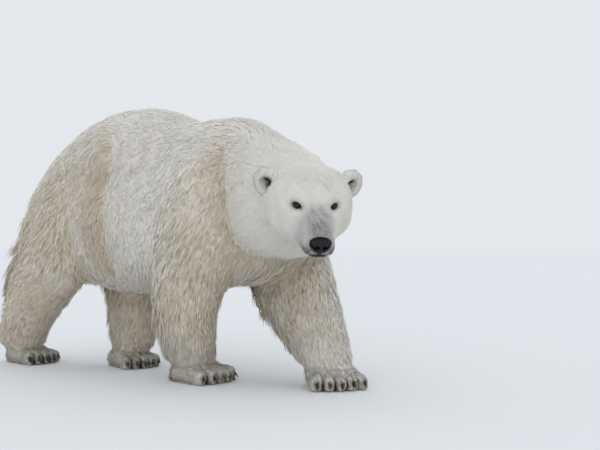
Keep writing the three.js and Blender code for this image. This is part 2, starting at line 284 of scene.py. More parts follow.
spine = slices("trunk", 1, (0.06, 0.25, 0.5, 0.75, 0.95))
coatLines = {
    "head": line(
        fromHead(
            [(0.35, 0, -0.06), (0.27, 0, -0.06), (0.16, 0, -0.04), (0.03, 0, -0.02), (-0.09, 0, -0.02)]
        ),
        (0.0065, 0.0016, 0.0021, 0.00, 0.0),
        (0.0095, 0.0023, 0.0023, 0.00, 0.0),
        (0.0145, 0.0034, 0.0026, 0.05, 0.0),
        (0.0200, 0.0055, 0.0031, 0.08, 0.08),
        (0.0240, 0.0065, 0.0036, 0.08, 0.1),
    ),
    "neck": line(
        [fromHead((-0.04, 0, -0.05)), middle("neck"), spine[0] + (0, 0.06, 0)],
        (0.025, 0.007, 0.0038, 0.06, 0.1),
        (0.030, 0.008, 0.0042, 0.08, 0.15),
        (0.036, 0.011, 0.0046, 0.15, 0.25),
    ),
    "trunk": line(
        spine,
        (0.052, 0.012, 0.0048, 0.35, 0.95),
        (0.046, 0.008, 0.0048, 0.16, 0.45),
        (0.042, 0.006, 0.0047, 0.08, 0.25),
        (0.046, 0.008, 0.0048, 0.18, 0.35),
        (0.054, 0.014, 0.0050, 0.40, 0.35),
    ),
    "tail": line(slices("tail", 2, (0.95, 0.05)), *[(0.05, 0.012, 0.005, 0.4, 0.2)] * 2),
}
legStops = {
    "fore": (
        (0.048, 0.010, 0.0049, 0.30, 0.50),
        (0.060, 0.016, 0.0050, 0.65, 0.85),
        (0.058, 0.016, 0.0049, 0.70, 0.95),
        (0.044, 0.012, 0.0046, 0.50, 0.80),
        (0.036, 0.010, 0.0043, 0.45, 0.60),
    ),
    "hind": (
        (0.048, 0.012, 0.0050, 0.30, 0.65),
        (0.054, 0.016, 0.0050, 0.50, 0.85),
        (0.056, 0.018, 0.0050, 0.65, 0.95),
        (0.052, 0.016, 0.0048, 0.65, 0.95),
        (0.044, 0.012, 0.0045, 0.60, 0.85),
    ),
}
for end, stops in legStops.items():
    for side in sides:
        leg, paw = end + "leg_" + side, end + "paw_" + side
        coatLines[leg] = line(slices(leg, 2, (0.86, 0.62, 0.4, 0.2, 0.04)), *stops)
        heel, ahead = middle(paw) * (1, 1, 0) + (0, 0, 0.10), toesAhead(paw)
        coatLines[paw] = line(
            [heel - ahead * 0.10, heel + ahead * 0.06, heel + ahead * 0.13 - (0, 0, 0.06)],
            (0.036, 0.011, 0.0042, 0.60, 0.35),
            (0.032, 0.010, 0.0039, 0.65, 0.20),
            (0.024, 0.008, 0.0033, 0.65, 0.10),
        )
for side in sides:
    coatLines["ear_" + side] = line(
        [middle("ear_" + side) - headUp * 0.05, middle("ear_" + side) + headUp * 0.05],
        (0.016, 0.005, 0.0030, 0.1, 0.0),
        (0.013, 0.004, 0.0028, 0.1, 0.0),
    )

# the hair of these parts turns this way besides: down on the flanks, back on the upper legs
hang = {"trunk": (0, 0.0, -2.2), "neck": (0, 0.1, -0.5), "foreleg": (0, 0.45, 0), "hindleg": (0, 0.3, 0)}
# it is so much longer, deeper and more drooping under the body and behind the legs
fringes = {
    "under": {"length": 0.7, "depth": 1.0, "droop": 0.5},
    "behind": {"length": 1.2, "depth": 1.6, "droop": 0.1},
    "lock": 0.2,
    "calmTop": 0.75,  # on the back there are so much fewer locks, and it is so much paler
}


def ownersOf(p):
    # the body part that each point belongs to: the node of the nearest CAD triangle
    verts, faces, owners, count = [], [], [], 0
    for part in coatLines:
        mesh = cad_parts[part].data
        verts.append(placesOf(mesh))
        faces.append(facesOf(mesh) + count)
        owners += [part] * len(faces[-1])
        count += len(verts[-1])
    tree = BVHTree.FromPolygons(np.concatenate(verts).tolist(), np.concatenate(faces).tolist())
    return np.array(owners)[[tree.find_nearest(q)[2] for q in p.tolist()]]


def layOf(p, n, owner, edges):
    # the coat at the skin's points: its direction along the surface and its values
    way, values = np.zeros_like(p), np.zeros((len(p), len(stopNames)))
    for part, (spots, stops) in coatLines.items():
        mine = np.nonzero(owner == part)[0]
        best = np.full(len(mine), np.inf)
        for i in range(len(spots) - 1):
            along = spots[i + 1] - spots[i]
            t = np.clip(((p[mine] - spots[i]) @ along) / (along @ along), 0, 1)[:, None]
            gap = np.linalg.norm(p[mine] - spots[i] - t * along, axis=1)
            nearer = gap < best
            best[nearer] = gap[nearer]
            way[mine[nearer]] = unit(along)
            values[mine[nearer]] = (stops[i] + t * (stops[i + 1] - stops[i]))[nearer]
        for start, drop in hang.items():
            if part.startswith(start):
                above, flank = smooth(p[mine, 2], 0.35, 0.7), 1 - smooth(n[mine, 2], 0.35, 0.9)
                share = above if "leg" in part else flank
                way[mine] = unit(way[mine] + share[:, None] * drop)
    body = np.isin(owner, ("trunk", "neck"))
    legs = named(owner, "leg")
    body, legs = relaxed(np.stack([body, legs], 1).astype(float), edges, 10).T
    under = smooth(-n[:, 2], 0.1, 0.9) * body * (owner != "neck")
    behind = smooth(n[:, 1], 0.1, 0.9) * legs * smooth(p[:, 2], 0.08, 0.25)
    below, rear = fringes["under"], fringes["behind"]
    more = {key: below[key] * under + rear[key] * behind for key in below}
    values[:, 0] *= 1 + more["length"]
    values[:, 1] *= 1 + more["depth"]
    values[:, 3] += fringes["lock"] * (under + behind)
    values[:, 3:] *= (1 - fringes["calmTop"] * smooth(n[:, 2], 0.35, 0.9) * body)[:, None]
    way += more["droop"][:, None] * (0, 0, -1)
    way = relaxed(way, edges, 30)
    return levelled(way, n), relaxed(values, edges, 7)


# where the mouth runs on each side, in the head's axes, millimetres
mouthLine = np.array(
    [(360, 0, -106), (350, 24, -107), (330, 43, -110), (298, 57, -113), (262, 68, -115), (228, 78, -113)]
)

skinShape = {
    "coarse": 0.012,  # voxel of the body while its flats are rounded off, metres
    "rounding": 22,
    "fine": 0.0044,
    "blending": 9,
    "faces": 118000,  # triangles before mouth, eyes and feet are refined
    "fillings": 10,  # rounds in which the corners at jaw and groins are filled
    "fillWide": 80,  # and how far each smooths
    "jawFill": (120, 60),  # reach round the jaw's line in millimetres: so much, and less towards its end
    "groinFill": 0.13,
    "refined": {"mouth": 24, "eye": 42, "foot": 0.10},  # millimetres, and metres above the floor
    "depthSteps": 4,
    "ankleFill": (0.9, 1.5),  # the second is for the paw stretched ahead
}


def nodeMeshes(names):
    # the meshes of these CAD nodes
    return [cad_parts[n].data for n in names]


def fused(name, meshes, voxel, rounds):
    # one smoothed surface round several meshes
    mesh = modified(joined(name, meshes), "REMESH", mode="VOXEL", voxel_size=voxel)
    setPoints(mesh, relaxed(placesOf(mesh), edgesOf(mesh), rounds))
    return mesh


inBody = [n for n in fleshNodes if n in ("trunk", "neck", "tail") or "leg" in n]
body = fused("body", nodeMeshes(inBody + ["head"]), skinShape["coarse"], skinShape["rounding"])
edges = edgesOf(body)


def filled(mesh, edges, share, rounds):
    # hollow places are filled: points move out, never in, by n max(0, (smoothed - p).n)
    co = placesOf(mesh)
    normal = normalsOf(mesh)
    out = np.maximum(((relaxed(co, edges, rounds) - co) * normal).sum(1), 0)
    setPoints(mesh, relaxed(co + normal * (out * share)[:, None], edges, 3, np.minimum(share, 1)))


jaw = np.array([(-30, 165, 0), (10, 170, -90), (80, 135, -150), (160, 85, -155)], float)
groins = {"right": [(-0.25, 0.31, 0.85), (-0.26, 0.33, 0.70), (-0.21, 0.35, 0.55)],
          "left": [(0.42, 0.27, 0.85), (0.43, 0.27, 0.70), (0.37, 0.29, 0.55)]}
wide, narrower = skinShape["jawFill"]
for _ in range(skinShape["fillings"]):  # the cheeks run into the neck softly, the thighs into the flanks
    co = placesOf(body)
    gap, where = nearestOn(jaw, folded(toHead(co)))
    share = hump(gap / (wide - narrower * where)) * (1 - 0.4 * where)
    for path in groins.values():
        gap = nearestOn(np.array(path), co)[0]
        share = np.maximum(share, hump(gap / skinShape["groinFill"]))
    filled(body, edges, share, skinShape["fillWide"])

inFace = [n for n in fleshNodes if n not in inBody] + ["eye_left", "eye_right"]
skinMesh = fused("skin", nodeMeshes(inFace) + [body], skinShape["fine"], skinShape["blending"])
print("skin fused:", len(skinMesh.vertices), "points")

# the face keeps its points, the rest is thinned
q = toHead(placesOf(skinMesh))
faceShare = smooth(q[:, 0], -0.06, 0.1) * (np.linalg.norm(q, axis=1) < 0.6)


def weighFace(holder, modifier):
    # a group of points in ten steps of weight, which the thinning spares
    group = holder.vertex_groups.new(name="face")
    for level in range(1, 11):
        chosen = np.nonzero(np.ceil(faceShare * 10) == level)[0]
        if len(chosen):
            group.add(chosen.tolist(), level / 10, "REPLACE")
    modifier.vertex_group = "face"
    modifier.invert_vertex_group = True


ratio = skinShape["faces"] / (len(skinMesh.polygons) * 2)
skinMesh = modified(skinMesh, "DECIMATE", weighFace, ratio=ratio, vertex_group_factor=3.0)
skinMesh = modified(skinMesh, "TRIANGULATE")
bm = bmesh.new()  # triangles by the mouth, eyes and toes are parted in four
bm.from_mesh(skinMesh)
co = np.array([edge.verts[0].co for edge in bm.edges])
m = folded(toHead(co))
near = skinShape["refined"]
fine = (nearestOn(mouthLine, m)[0] < near["mouth"]) | (co[:, 2] < near["foot"])
fine |= np.linalg.norm(m - (172, 71, 18), axis=1) < near["eye"]
bm.edges.ensure_lookup_table()
bmesh.ops.subdivide_edges(bm, edges=[bm.edges[i] for i in np.nonzero(fine)[0].tolist()], cuts=1)
bmesh.ops.triangulate(bm, faces=bm.faces)
bm.to_mesh(skinMesh)
bm.free()
skinCo = placesOf(skinMesh)
skinEdges = edgesOf(skinMesh)
skinFaces = facesOf(skinMesh)
print("skin thinned to", len(skinFaces), "triangles")

skinOwner = ownersOf(skinCo)
normal = normalsOf(skinMesh)
skinFlow, skinValues = layOf(skinCo, normal, skinOwner, skinEdges)
for _ in range(skinShape["depthSteps"]):  # the coat's depth is taken off, except under the soles
    normal = normalsOf(skinMesh)
    free = 1 - smooth(-normal[:, 2], 0.5, 0.9) * (skinCo[:, 2] < 0.03)
    inward = skinCo - normal * (skinValues[:, 1] * free / skinShape["depthSteps"])[:, None]
    setPoints(skinMesh, relaxed(inward, skinEdges, 1, free))
    skinCo = placesOf(skinMesh)
print("coat's depth taken off")

ankle = smooth(skinCo[:, 2], 0.045, 0.09) * (1 - smooth(skinCo[:, 2], 0.2, 0.3))
stretched = np.linalg.norm((skinCo - middle("forepaw_left"))[:, :2], axis=1) < 0.3
for _ in range(5):  # the legs widen into the paws
    filled(skinMesh, skinEdges, ankle * np.where(stretched, *skinShape["ankleFill"][::-1]), 30)
skinCo = placesOf(skinMesh)

# the toes of each paw: where each claw leaves it, and which way it points
toes = {}
for paw in [n for n in fleshNodes if "paw" in n]:
    toes[paw] = []
    for toe in "12345":
        claw = placesOf(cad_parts[paw.replace("paw", "claw") + "_" + toe].data)
        away = np.linalg.norm((claw - middle(paw))[:, :2], axis=1)
        order = np.argsort(away)
        base, tip = claw[order[: len(claw) // 4]].mean(0), claw[order[-len(claw) // 4 :]].mean(0)
        toes[paw].append((base, unit((tip - base) * (1, 1, 0))))


def inToe(p, base, way):
    # (ahead, across, up) from where a claw leaves its toe, metres
    return (p - base) @ np.array([way, (-way[1], way[0], 0), (0, 0, 1)]).T


toeShape = {
    "bulge": 0.011,
    "back": ((-0.026, 0, 0.016), (0.032, 0.017, 0.032)),  # middle and radii in the toe's own axes
    "groove": 0.018,
    "between": ((-0.012, 0, 0), (0.044, 0.0065, 0.05)),
}


def toeMarks(p):
    # how much a point lies on a toe's back, and how much between two toes
    bulge, groove = np.zeros(len(p)), np.zeros(len(p))
    near = np.nonzero(p[:, 2] < 0.13)[0]
    for spots in toes.values():
        for base, way in spots:
            bulge[near] += bell(inToe(p[near], base, way), *toeShape["back"])
        for (base, way), (nextBase, nextWay) in zip(spots, spots[1:]):
            q = inToe(p[near], (base + nextBase) / 2, unit(way + nextWay))
            groove[near] += bell(q, *toeShape["between"])
    return bulge, groove


bodyShape = {
    "valley": 0.010,  # how deep the furrow between trunk and legs is on the inner side
    "ruff": 0.006,  # how far the neck's edge stands over the shoulders
    "underRuff": 0.010,  # how deep they fall away under it
    "thigh": (0.012, 0.018),  # how full the thigh's front edge is, and how deep the fold before it
    "shoulder": (0.007, 0.004),  # the same of the shoulder's rear edge
}
bulge, groove = toeMarks(skinCo)


def softened(values, rounds):
    # one number for each point of the skin, smoothed over its neighbours
    return relaxed(np.asarray(values, float)[:, None], skinEdges, rounds)[:, 0]


# Two edges run down each flank, given as places (y, z): the thigh begins behind one of them and the
# shoulder ahead of the other. On the left side, where the legs are stretched forward, they lean forward.
flankEdges = {
    "thigh": [
        (0.250, 1.187), (0.187, 1.102), (0.162, 1.028), (0.180, 0.92), (0.192, 0.826), (0.205, 0.70),
        (0.192, 0.53),
    ],
    "shoulder": [
        (-0.322, 1.20), (-0.273, 1.135), (-0.214, 1.096), (-0.160, 0.993), (-0.136, 0.80), (-0.140, 0.455),
    ],
}
flankCoat = {
    "lean": 0.12,  # how far forward the left side's edges lie at the bottom, metres
    "thighLocks": (0.2, 0.35),  # more locks all over the thigh, and by its front edge
    "thighWarm": (0.45, 0.1),
    "paleRear": 0.8,  # share of the thigh's warmth taken off at its rear, as painted light
    "shallowLeft": 0.7,  # share of the fold's painted shade and tones that the left side has lost
    "shoulderWarm": 0.4,  # towards the neck: straw hair, and painted shade under the neck's ruff
    "paleEdge": 0.8,  # share of the warmth taken off the shoulder's rear edge, as painted light
}


def behindEdge(name, p):
    # how far a point lies behind an edge; less than nothing ahead of it
    edge = np.array(flankEdges[name])
    lean = (p[:, 0] > middle("trunk")[0]) * flankCoat["lean"] * smooth(1.15 - p[:, 2], 0, 0.6)
    q = p[:, 1:] + np.outer(lean, (1, 0))
    return nearestOn(edge, q)[0] * np.sign(q[:, 0] - np.interp(q[:, 1], edge[::-1, 1], edge[::-1, 0]))


calmNormal = relaxed(normal, skinEdges, 12)
outside = smooth(calmNormal[:, 0] * np.sign(skinCo[:, 0] - middle("trunk")[0]), 0.05, 0.5)
outside = outside * smooth(skinCo[:, 2], 0.42, 0.6) * np.isin(skinOwner, [n for n in inBody if n != "neck"])
outside = softened(outside, 12)
thigh, shoulder = behindEdge("thigh", skinCo), -behindEdge("shoulder", skinCo)
farSide = skinCo[:, 0] > middle("trunk")[0]  # the left, where the fold in front of the thigh is shallow
onThigh = outside * np.where(farSide, smooth(thigh, -0.07, 0.08), smooth(thigh, -0.025, 0.02))
lowered = 1 - smooth(skinCo[:, 2], 1.0, 1.15)
thighFront = onThigh * hump(np.maximum(thigh, 0) / 0.12) * (0.4 + 0.6 * lowered)
thighFront = thighFront * (1 - flankCoat["shallowLeft"] * farSide)
litThighRear = smooth(thigh, 0.18, 0.42)
litShoulderEdge = outside * hump(shoulder / 0.13)
# the hair is warmer and more in locks all over the thigh, and warmer towards the front of the shoulder,
# which is partly painted shade under the neck; the thigh's rear and the shoulder's rear edge are painted
# paler, as light
allOver, inFront = flankCoat["thighLocks"]
skinValues[:, 3] += (allOver * onThigh + inFront * thighFront) * (1 - skinValues[:, 3])
allOver, inFront = flankCoat["thighWarm"]
warmer = allOver * onThigh * lowered * (1 - flankCoat["paleRear"] * litThighRear) + inFront * thighFront
skinValues[:, 4] += warmer * (1 - 0.5 * skinValues[:, 4])
skinValues[:, 4] += flankCoat["shoulderWarm"] * outside * smooth(shoulder, 0.08, 0.33) * lowered
skinValues[:, 4] *= 1 - flankCoat["paleEdge"] * litShoulderEdge

# Dabs model the face: middle, radii and push outwards in the head's axes, in millimetres, on both sides.
# A dab moves the skin along its normal by push * exp(-r^2), r being the distance in radii.
faceDabs = {
    "brow": ((158, 62, 52), (30, 24, 15), 6.0),
    "browInner": ((176, 38, 44), (24, 16, 14), 3.0),
    "tearTrough": ((206, 50, -2), (24, 12, 12), -3.5),
    "foreheadDip": ((165, 0, 76), (40, 13, 20), -2.5),
    "cheekBone": ((130, 118, -12), (44, 30, 34), 5.0),
    "jowl": ((90, 140, -80), (55, 40, 40), 5.0),
    "muzzleRoot": ((222, 82, -38), (34, 22, 34), -7.0),
    "bridgeEdge": ((278, 34, 12), (50, 15, 14), 3.0),
    "bridgeFlat": ((268, 0, 24), (60, 16, 14), -2.0),
    "whiskerPad": ((324, 46, -84), (30, 20, 20), 4.5),
    "lipBack": ((255, 64, -100), (40, 18, 14), 3.0),
    "chin": ((334, 12, -120), (20, 22, 9), 1.5),
    "underChin": ((290, 0, -138), (40, 40, 14), -3.0),
    "noseSide": ((344, 48, -56), (16, 12, 22), -3.0),
}
# The mouth is a groove along a line under each side of the muzzle, with a fuller lip above it.
mouth = {"depth": 6.5, "width": 4.0, "lip": 3.0}
# ears, metres from each one's middle: how much fuller, the dish in front and the canal in the dish
earShape = {
    "fuller": 0.0095,
    "dish": ((-0.005, 0.002, -0.002), (0.014, 0.025, 0.031), 0.007),
    "canal": ((-0.008, -0.007, -0.008), (0.014, 0.013, 0.026), 0.011),
    "shadow": np.array([(-8, 20, 18), (-8, -14, -6), (-8, 8, -36)], float),  # runs round it, millimetres
}

# eyes: the ball is sunk in a shallow dish of the skin, inside an almond opening
eyeShape = {
    "ball": 0.0150,
    "dome": 0.05,
    "proud": 0.0050,  # how far the ball stands out of the skin
    "looks": (0.80, 0.56, 0.20),  # head's axes
    "inner": (0.56, -0.82, -0.14),  # towards the inner corner
    "opening": (0.0158, 0.0090),
    "rim": (1.38, 1.50),  # outer edge of the lids, in openings
    "lidRise": 0.0026,
    "tucked": 0.0012,  # how far under the skin the lids' outer edge lies
    "flat": (0.031, 0.025),  # the skin round the eye is level as far as this,
    "dish": 0.0075,  # and under the ball it is so much deeper
}
eyeFrames = {}
skinTree = BVHTree.FromPolygons(skinCo.tolist(), skinFaces.tolist())
for side, sign in sides.items():
    looks, inner = (unit(np.array(eyeShape[key]) * (1, sign, 1)) @ headAxes for key in ("looks", "inner"))
    inner = unit(inner - looks * (inner @ looks))
    over = np.cross(looks, inner) * -sign
    spot = np.array(skinTree.ray_cast(Vector(middle("eye_" + side) + looks * 0.06), Vector(-looks))[0])
    spot = spot - looks * 0.003
    centre = spot - looks * (eyeShape["ball"] - eyeShape["proud"])
    eyeFrames[side] = {"spot": spot, "axes": np.array([inner, over, looks]), "centre": centre}


def inEye(side, p):
    # places in an eye's own axes: towards the inner corner, up the lids, outward
    return (p - eyeFrames[side]["spot"]) @ eyeFrames[side]["axes"].T


q = toHead(skinCo)
m = folded(q)
skinNormal = normalsOf(skinMesh)
push = sum(amount * bell(m, place, radii) for place, radii, amount in faceDabs.values())
gap, where = nearestOn(mouthLine, m)
fade = 1 - 0.6 * smooth(where, 0.6, 1.0)
push -= mouth["depth"] * fade * hump(gap / mouth["width"])
push += mouth["lip"] * fade * hump((gap - 9) / 6) * (m[:, 2] > -98 - 16 * where)
push *= 0.001
legShare = softened(named(skinOwner, "leg"), 14)
legFurrow = (4 * legShare * (1 - legShare)) ** 2 * smooth(skinCo[:, 2], 0.35, 0.6) * (1 - 0.85 * outside)
push -= bodyShape["valley"] * legFurrow
full, fold = bodyShape["thigh"]
push += outside * full * hump((thigh - 0.06) / 0.05)
push -= outside * fold * hump(thigh / 0.025)
full, fold = bodyShape["shoulder"]
push += outside * full * smooth(shoulder, -0.03, 0.03) * hump(np.maximum(shoulder, 0) / 0.1)
push -= outside * fold * hump((shoulder + 0.05) / 0.045)
ruff = softened(np.isin(skinOwner, ("neck", "head")), 9)
ruffEdge = 4 * ruff * (1 - ruff) * (1 - smooth(skinNormal[:, 2], 0.5, 0.85))
push += ruffEdge * np.where(ruff > 0.5, bodyShape["ruff"], -bodyShape["underRuff"])
isEar = softened(named(skinOwner, "ear"), 4)
push += earShape["fuller"] * isEar + toeShape["bulge"] * bulge - toeShape["groove"] * groove
for side, sign in sides.items():
    for place, radii, depth in (earShape["dish"], earShape["canal"]):
        push -= depth * bell(q, toHead(middle("ear_" + side)) + np.array(place) * (1, sign, 1), radii)
normal = normalsOf(skinMesh)
skinCo = skinCo + normal * push[:, None]
for side, eye in eyeFrames.items():
    e = inEye(side, skinCo)
    apart = np.linalg.norm(e[:, :2] / eyeShape["flat"], axis=1) + 100 * (np.abs(e[:, 2]) > 0.04)
    within = np.linalg.norm(e[:, :2] / eyeShape["opening"] / 1.3, axis=1)
    level = -eyeShape["dish"] * hump(within, 4)
    skinCo = skinCo + ((level - e[:, 2]) * hump(apart, 4))[:, None] * eye["axes"][2]
    away = unit(e[:, :1] * eye["axes"][0] + e[:, 1:2] * eye["axes"][1])
    # the hair parts round the eye
    skinFlow = skinFlow + 1.3 * hump(apart / 1.3)[:, None] * away
skinCo[:, 2] = np.maximum(skinCo[:, 2], 0)
setPoints(skinMesh, skinCo)
skinMesh.shade_smooth()
skin = shown("bearSkin", skinMesh)
skinNormal = normalsOf(skinMesh)
skinFlow = levelled(skinFlow, skinNormal)
skinTree = BVHTree.FromPolygons(skinCo.tolist(), skinFaces.tolist())
print("face modelled")


def landed(aim):
    # the nearest places on the skin and the normals there
    found = [skinTree.find_nearest(p) for p in aim.tolist()]
    return np.array([f[0] for f in found]), np.array([f[1] for f in found])


# how hollow the body is at each point: how far the skin lies under its own smoothed shape. The coat's
# colour paints shade from it, darker and warmer in hollows and folds
calm = relaxed(skinCo, skinEdges, 50)
hollow = np.clip(((calm - skinCo) * skinNormal).sum(1) / 0.005, -1, 1)
hollow = softened(hollow, 8)
shadedFurrows = {"legs": 0.5, "thigh": 1.7, "ruff": 0.5}  # how much painted shade these furrows get besides, counted as hollow
hollow = hollow * (1 - 0.6 * outside) + shadedFurrows["legs"] * legFurrow + shadedFurrows["thigh"] * thighFront
# painted shadow on the shoulders just outside the neck's ruff, on what faces sideways
ruffWide = softened(np.isin(skinOwner, ("neck", "head")), 60)
ruffShadow = smooth(ruffWide, 0.03, 0.4) * (1 - smooth(ruffWide, 0.45, 0.6))
hollow += shadedFurrows["ruff"] * ruffShadow * (1 - smooth(skinNormal[:, 2], 0.2, 0.7))

# Each eye's ball is a sphere turned about the way it looks, with a clear dome over its front. The lids
# are a ring round an almond opening, x = long cos t, y = high sin t |sin t|^0.25. From the ball they rise
# over a rounded edge and run out under the skin, and come back below it.


def eyeBall(side):
    # r(a) = ball (1 + dome exp(-(a / 0.6)^2)), a being the angle from the way it looks
    eye = eyeFrames[side]
    looks = eye["axes"][2]
    across = unit(np.cross(looks, headUp))
    up = np.cross(across, looks)
    a = np.linspace(0, math.pi, 49)[:, None]
    t = np.linspace(0, 2 * math.pi, 65)[None, :-1]
    r = eyeShape["ball"] * (1 + eyeShape["dome"] * hump(a / 0.6))
    points = eye["centre"] + (r * np.cos(a) * (1 + 0 * t))[..., None] * looks
    points = points + (r * np.sin(a) * np.cos(t))[..., None] * across
    points = points + (r * np.sin(a) * np.sin(t))[..., None] * up
    return turned("eyeball" + side.title(), points, {"turn": a + 0 * t})


def lidRing(side):
    # edge + (rim - edge) s, lifted by rise sin(pi s^0.6)^0.8, with s from 0 on the ball to 1 in the skin
    eye = eyeFrames[side]
    inner, over, outward = eye["axes"]
    long, high = eyeShape["opening"]
    t = np.linspace(0, 2 * math.pi, 81)[:-1]
    x = long * np.cos(t) * (1 + 0.18 * smooth(np.cos(t), 0.5, 1))
    y = high * np.sin(t) * np.abs(np.sin(t)) ** 0.25 * np.where(np.sin(t) > 0, 1.0, 0.92)
    flat = x[:, None] * inner + y[:, None] * over
    ball = eyeShape["ball"] + 0.0004
    fromCentre = ball**2 - (flat**2).sum(1)
    edge = eye["centre"] + flat + np.sqrt(np.maximum(fromCentre, 2e-5))[:, None] * outward
    wide = (x * eyeShape["rim"][0])[:, None] * inner + (y * eyeShape["rim"][1])[:, None] * over
    rim = eye["spot"] + wide
    hits = [skinTree.ray_cast(Vector(p + outward * 0.04), Vector(-outward))[0] for p in rim]
    rim = np.array(hits) - outward * eyeShape["tucked"]
    s = np.linspace(0, 1, 15)[:, None, None]
    rise = eyeShape["lidRise"] * (1 + 0.35 * (np.sin(t) > 0) * np.sin(t))[:, None] * outward
    top = edge + (rim - edge) * s + rise * np.sin(math.pi * s**0.6) ** 0.8
    below = rim + (edge - rim) * s[1:-1:3] - outward * 0.0035
    return turned("lids" + side.title(), np.concatenate([top, below]), {}, bothWays=True)


eyeBalls = {side: eyeBall(side) for side in sides}
lids = {side: lidRing(side) for side in sides}
print("eyes done")

# The nose pad is a dome over an outline y = half cos t, z = high sin t, narrower below, in rings s from
# its tip (0) past its rim (1) and in under the skin. It falls back by fall s^2.6, and further along its
# top edge. Nostrils are sunk round a bent line on each side that opens outwards; a groove parts the
# lower half.

noseShape = {
    "half": 44.0,
    "high": 31.0,
    "middle": (375.0, 0.0, -61.0),  # the tip, head's axes, millimetres
    "fall": 24.0,
    "topBack": 20.0,
    "narrow": 0.36,
    "nostril": np.array([(0, 14, -4), (0, 17, -7), (0, 22, -7), (0, 30, -3), (0, 38, 6)], float),
    "nostrilDepth": 22.0,
    "nostrilWidth": (8.0, 5.5),  # at its inner end, and how much less at the slit's
    "wing": 3.0,  # the swelling round it
    "groove": 3.0,
}


def nosePad():
    # x = -fall s^2.6, less the top's fall, plus the wings, less the nostrils and the groove
    s = np.concatenate([np.linspace(0, 1, 60)[1:], 1 + np.array([0.05, 0.08, 0.08])])[:, None]
    t = np.linspace(0, 2 * math.pi, 181)[None, :-1]
    cos, sin = np.cos(t), np.sin(t)
    reach = np.minimum(s, 1) - 6 * np.maximum(s - 1.05, 0) - 0.25 * (s > 1.07)
    y = noseShape["half"] * reach * np.sign(cos) * np.abs(cos) ** 0.86
    z = noseShape["high"] * reach * np.sign(sin) * np.abs(sin) ** 0.86
    y = y * (1 - noseShape["narrow"] * smooth(-z / noseShape["high"], -0.25, 1.0))
    z = z + 3.0 * (y / noseShape["half"]) ** 2 * (z > 0)
    x = -noseShape["fall"] * s**2.6
    x = x - noseShape["topBack"] * smooth(z / noseShape["high"], 0.25, 1.15) * s**2
    x = x - 14 * (s > 1.07)
    flat = np.stack([0 * y, np.abs(y), z], -1).reshape(-1, 3)
    gap, where = nearestOn(noseShape["nostril"], flat)
    gap, where = gap.reshape(y.shape), where.reshape(y.shape)
    width = noseShape["nostrilWidth"][0] - noseShape["nostrilWidth"][1] * smooth(where, 0.35, 0.8)
    sunk = hump(gap / width, 4) * (1 - 0.55 * where)
    x = x + noseShape["wing"] * hump((gap - width - 4) / 3.5) * (s < 0.97)
    x = x - noseShape["nostrilDepth"] * sunk
    groove = hump(y / 1.6) * smooth(-z, 2, 12)
    x = x - noseShape["groove"] * groove * (s < 1)
    place = (np.stack([x, y, z], -1) + noseShape["middle"]) / 1000
    # the mark "sunk" paints shade in the nostrils and the groove
    return turned("nosePad", fromHead(place), {"sunk": sunk + 0.5 * groove})


nosePiece = nosePad()
print("nose done")

# The markings are the same for skin and coat. "grey" is the soot grey of muzzle and feet, and painted shade
# in the ears' dishes, on what faces up on the head and on the lower trunk; "dark" is bare black skin, with
# painted shadow inside the ears and partly between the toes; "warm" is the ivory and straw tones, with
# painted shade in hollows and folds, and less of it where light is painted on some edges.

# how soiled the lower legs and the feet are; a leg that isn't named has 1
soiled = {
    "foreleg_right": 1.9,
    "foreleg_left": 0.35,
    "forepaw_right": 1.3,
    "forepaw_left": 0.15,
    "hindpaw_right": 1.3,
    "hindpaw_left": 1.3,
}


greyOf = {
    "bridge": (0.5, 0.3, 0.2),  # all of it, its specks, and more towards the nose
    "muzzle": 0.42,
    "pads": (0.5, 0.4),  # all of the whisker pads, and their specks
    "lids": 0.3,
    "tears": 0.35,
    # painted shade in the ear's dish
    "ears": 0.25,
    "crown": (0.16, 0.11),
    "top": 0.07,  # painted shade on what faces up on head and neck
    "feet": 0.05,
    "soil": 0.14,
    # painted shade on the trunk below the back's top
    "trunk": 0.06,
}
darkOf = {
    "mouth": (1.6, 8.5, 5.0, 0.8),  # strength, half width, and how much both fall towards its corner
    "philtrum": 0.6,
    "whiskers": 0.6,
    "noseRim": 0.9,
    "tears": 0.7,
    # painted shadow inside the ear
    "ears": 1.2,
    # between the toes: partly bare skin, partly painted shade
    "toeGaps": 2.2,
    "claws": 1.6,
    "footEdge": 0.5,
    "gaps": 0.3,
}


def soilOn(p, owner):
    # how soiled the lower legs are, each by its own share
    share = np.array([soiled.get(part, 1.0 * ("leg" in part)) for part in owner.tolist()])
    return share * (1 - smooth(p[:, 2], 0.08, 0.40)) * (0.8 + 0.2 * ripple(p, 0.08, 26))


